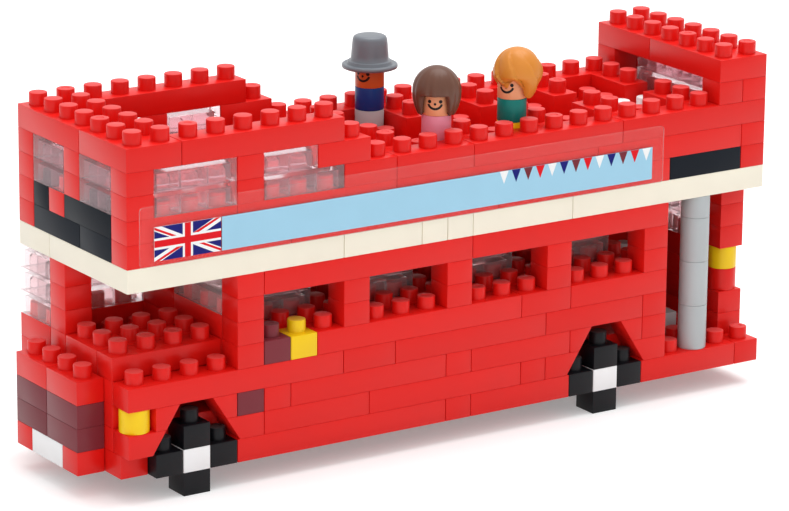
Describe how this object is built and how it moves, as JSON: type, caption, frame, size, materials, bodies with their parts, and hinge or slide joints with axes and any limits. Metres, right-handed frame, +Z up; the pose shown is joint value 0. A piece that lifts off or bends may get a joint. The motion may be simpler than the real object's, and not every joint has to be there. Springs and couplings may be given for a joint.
{
  "type": "toy brick open-top double-deck tour bus",
  "caption": "Open-top double-deck tour bus made of tiny studded toy bricks, with a half cab, rear platform, banner and small toy riders.",
  "frame": {"origin": "middle of the bus's footprint, on the surface it stands on", "axes": "+X forward along the bus, +Y to the bus's left, the side with the open platform, +Z up"},
  "size_m": [0.104, 0.0282, 0.0509],
  "materials": {
    "red_brick": "moulded red plastic, satin gloss",
    "cream_brick": "moulded cream plastic",
    "charcoal_brick": "moulded charcoal plastic",
    "brown_brick": "moulded reddish brown plastic",
    "yellow_brick": "moulded yellow plastic",
    "white_brick": "moulded white plastic",
    "grey_brick": "moulded light grey plastic",
    "black_brick": "moulded black plastic",
    "clear_brick": "moulded clear plastic",
    "clear_film": "thin clear film",
    "flag_print": "printed panel",
    "sky_print": "printed light blue panel",
    "hat_grey": "moulded grey plastic",
    "navy_round": "moulded dark blue plastic",
    "pink_round": "moulded pink plastic",
    "teal_round": "moulded green-blue plastic",
    "skin_round": "moulded tan plastic",
    "brown_hair": "moulded brown plastic",
    "blond_hair": "moulded fair plastic"
  },
  "bodies": {
    "root": {"advert_wall_bricks": "red_brick", "banner_film": "clear_film", "banner_flag_panel": "flag_print", "banner_sky_panel": "sky_print", "bob_rider_body": "pink_round", "bob_rider_hair": "brown_hair", "bob_rider_legs": "pink_round", "chassis_floor_bricks": "red_brick", "cream_band_bricks": "cream_brick", "deck_floor_bricks": "red_brick", "deck_wall_bricks": "red_brick", "deck_window_lower_bricks": "clear_brick", "deck_window_upper_bricks": "clear_brick", "front_left_wheel_bricks": "black_brick", "front_panel_lower_bricks": "charcoal_brick", "front_panel_upper_bricks": "charcoal_brick", "front_right_wheel_bricks": "black_brick", "grille_lower_bricks": "brown_brick", "grille_upper_bricks": "brown_brick", "hat_rider_body": "navy_round", "hat_rider_hat": "hat_grey", "hat_rider_legs": "grey_brick", "lamp_bricks": "yellow_brick", "lintel_bricks": "red_brick", "nose_red_bricks": "red_brick", "number_plate_brick": "white_brick", "pillar_lower_bricks": "red_brick", "pillar_upper_bricks": "red_brick", "pole_lengths_first_third": "grey_brick", "pole_lengths_second_fourth": "grey_brick", "rail_bricks": "red_brick", "rear_left_wheel_bricks": "black_brick", "rear_right_wheel_bricks": "black_brick", "rider_heads": "skin_round", "roof_cap_bricks": "red_brick", "saloon_clear_lower_bricks": "clear_brick", "saloon_clear_middle_bricks": "clear_brick", "saloon_clear_upper_bricks": "clear_brick", "saloon_floor_bricks": "red_brick", "seat_back_bricks": "red_brick", "seat_base_bricks": "red_brick", "side_flap_brick": "brown_brick", "side_marker_brick": "yellow_brick", "side_vent_brick": "brown_brick", "sill_bricks": "red_brick", "skirt_lower_bricks": "red_brick", "skirt_middle_bricks": "red_brick", "skirt_upper_bricks": "red_brick", "stair_head_brick": "white_brick", "stair_tread_lower_brick": "grey_brick", "stair_tread_middle_brick": "grey_brick", "stair_tread_upper_brick": "grey_brick", "swept_rider_body": "teal_round", "swept_rider_hair": "blond_hair", "swept_rider_legs": "yellow_brick", "upper_post_bricks": "red_brick", "waist_bricks": "red_brick", "wheel_hub_bricks": "white_brick"}
  },
  "joints": []
}
